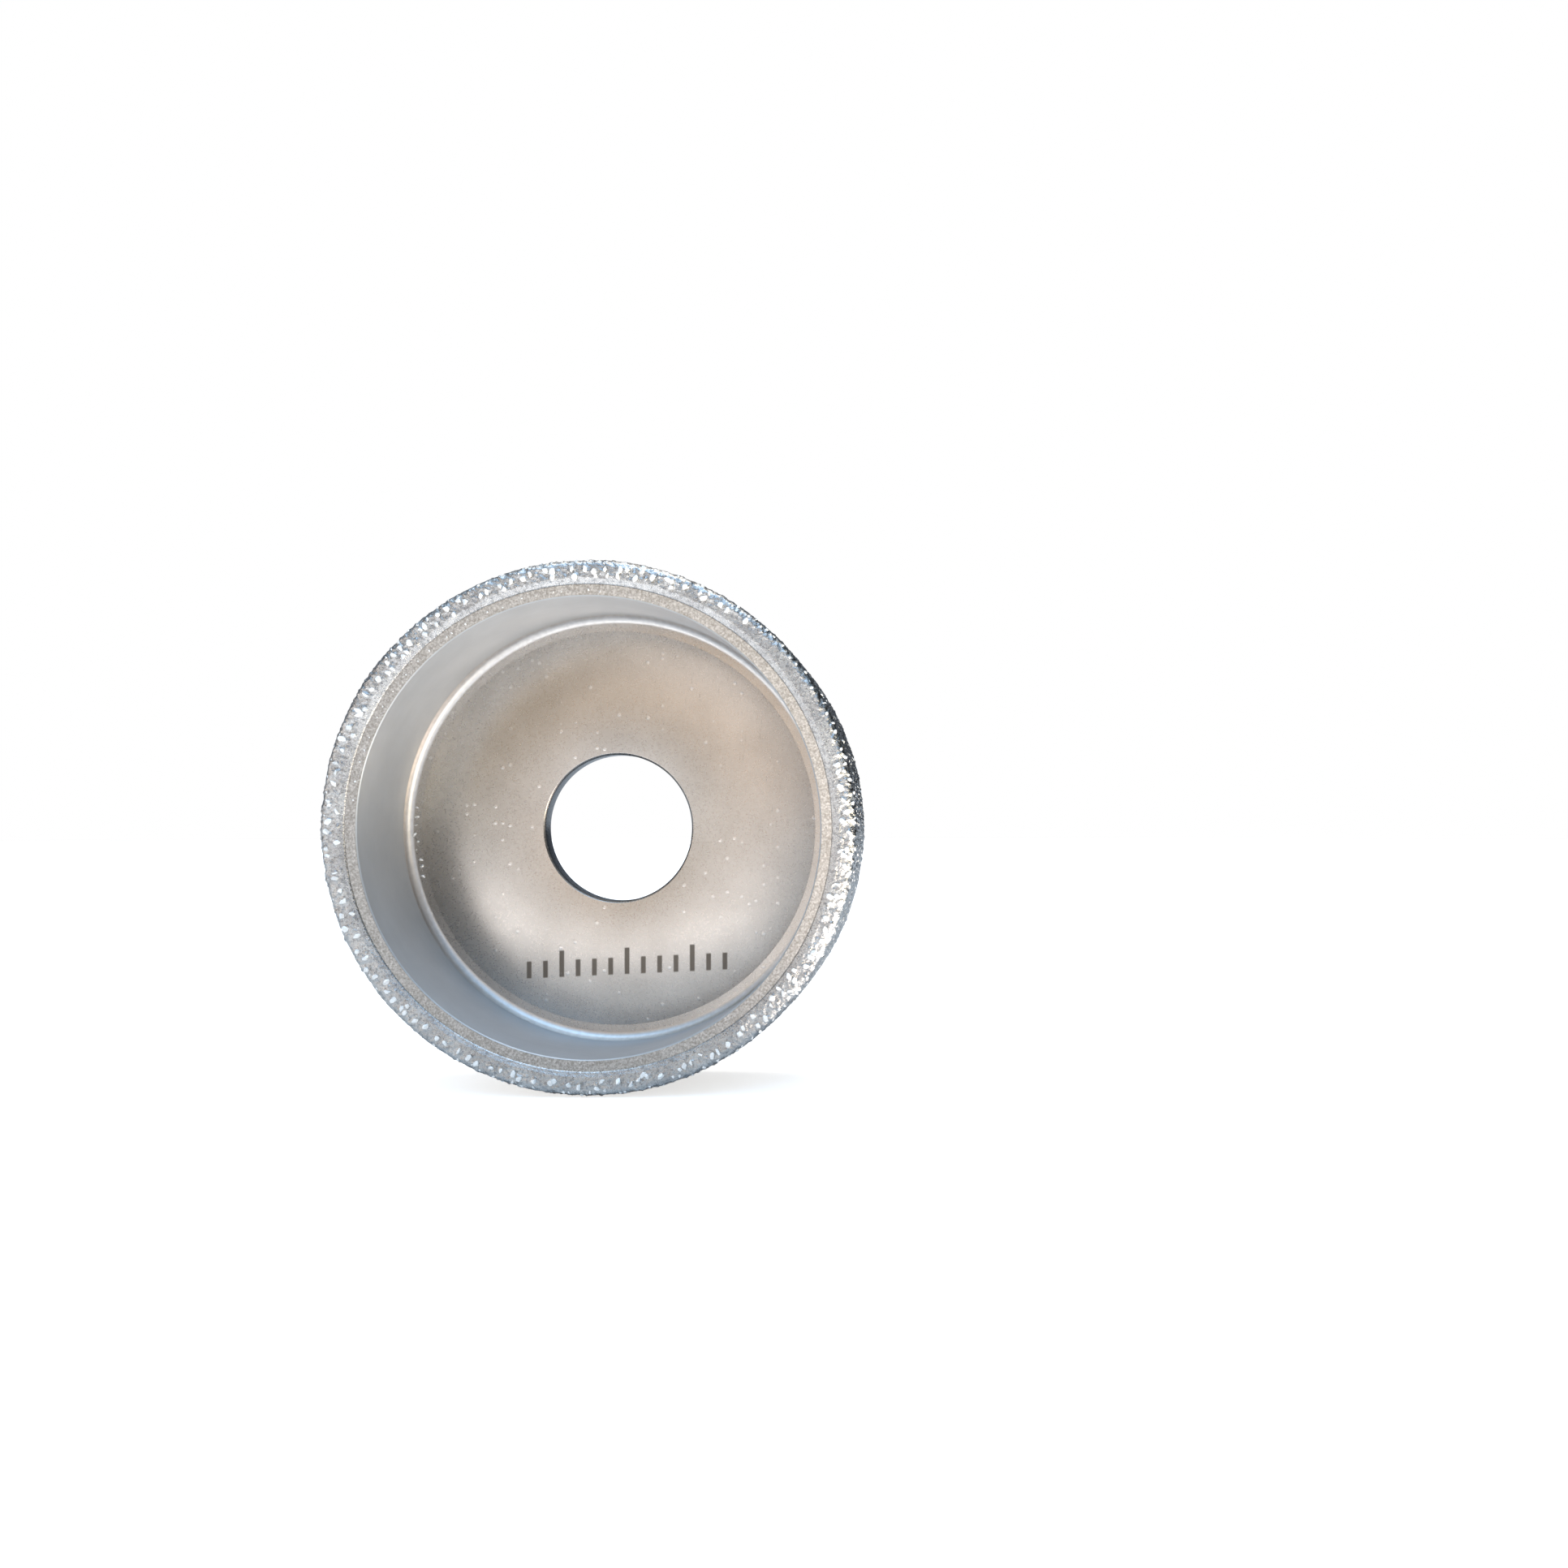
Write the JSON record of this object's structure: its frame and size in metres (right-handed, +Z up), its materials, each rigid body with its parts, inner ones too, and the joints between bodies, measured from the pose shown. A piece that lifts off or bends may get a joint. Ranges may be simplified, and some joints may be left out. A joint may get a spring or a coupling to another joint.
{
  "type": "diamond grinding wheel",
  "caption": "Shallow steel cup wheel with a flat web and plain bore, its rim and rounded edges coated in brazed diamond grit for grinding stone, tile and edges.",
  "frame": {"origin": "centre of the bore at the web's back face, where the grinder's flange seats", "axes": "+Y along the spin axis, out of the back face towards the grinder; the cup opens towards -Y; +Z is up in the shown pose"},
  "size_m": [0.075, 0.02, 0.075],
  "materials": {
    "web_steel": "satin",
    "ring_steel": "satin",
    "joint_braze": "gloss",
    "coat_braze": "gloss",
    "crystal": "gloss"
  },
  "bodies": {
    "root": {"web_disc": "web_steel", "rim_ring": "ring_steel", "web_braze": "joint_braze", "braze_beads": "joint_braze", "braze_coat": "coat_braze", "stray_crystals": "crystal", "crystals_lip": "crystal", "crystals_front_edge": "crystal", "crystals_outside": "crystal", "crystals_back_edge": "crystal"}
  },
  "joints": []
}
